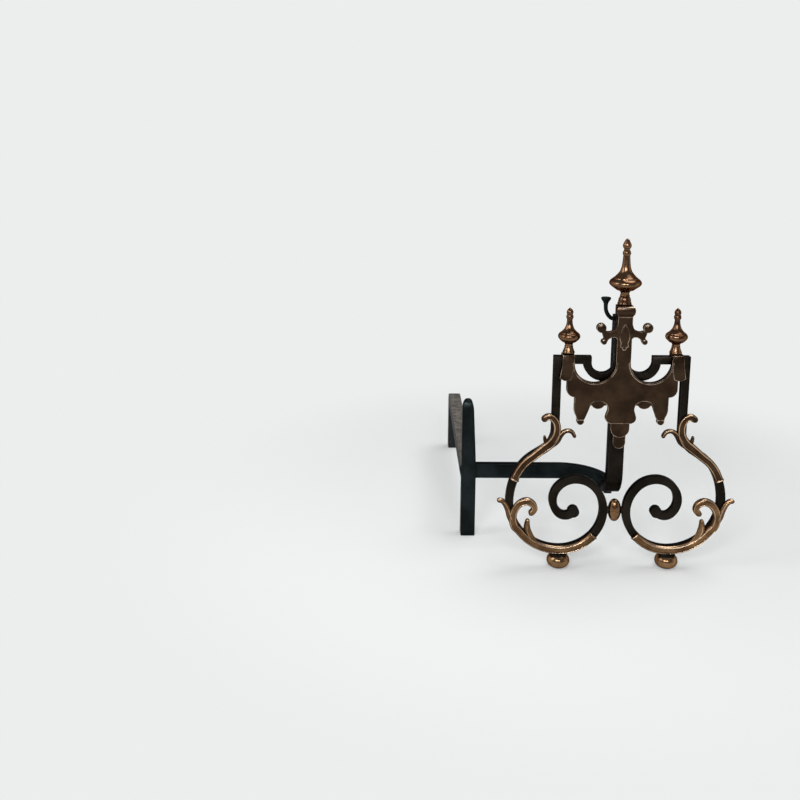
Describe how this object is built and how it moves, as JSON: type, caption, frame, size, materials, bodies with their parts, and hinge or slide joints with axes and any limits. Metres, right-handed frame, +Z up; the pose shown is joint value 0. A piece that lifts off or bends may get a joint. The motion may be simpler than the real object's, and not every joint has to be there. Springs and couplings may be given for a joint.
{
  "type": "fireplace andiron",
  "caption": "Wrought-iron fireplace andiron with a scrolled front, cast bronze leaves, shaped crest plate, turned finials and bun feet, on an offset post and log bar.",
  "frame": {"origin": "on the floor, under the middle of the whole andiron", "axes": "-Y towards the room, from the decorated front; +Z up; the log bar runs along +Y on the -X side"},
  "size_m": [0.448, 0.6427, 0.557],
  "materials": {
    "iron": "waxed blue-black forge finish, satin",
    "log_iron": "grey forge scale, matt",
    "plate_bronze": "dark brown patina, polished on the edges",
    "bronze": "warm brown bronze, polished",
    "leaf_bronze": "cast bronze, worn bright on the ridges"
  },
  "bodies": {
    "root": {"left_scroll_bar": "iron", "right_scroll_bar": "iron", "left_yoke_bar": "iron", "right_yoke_bar": "iron", "standard": "iron", "cross_arm": "iron", "arm_rivet": "iron", "log_post": "iron", "tall_finial_stud": "iron", "side_finial_studs": "iron", "tool_hook": "iron", "bead_pin": "iron", "foot_collars": "iron", "foot_studs": "iron", "plate_screws": "iron", "leaf_screws": "iron", "log_bar": "log_iron", "crest_plate": "plate_bronze", "tall_finial": "bronze", "left_finial": "bronze", "right_finial": "bronze", "centre_bead": "bronze", "left_foot": "bronze", "right_foot": "bronze", "left_upper_leaf": "leaf_bronze", "right_upper_leaf": "leaf_bronze", "left_lower_leaf": "leaf_bronze", "right_lower_leaf": "leaf_bronze"}
  },
  "joints": []
}
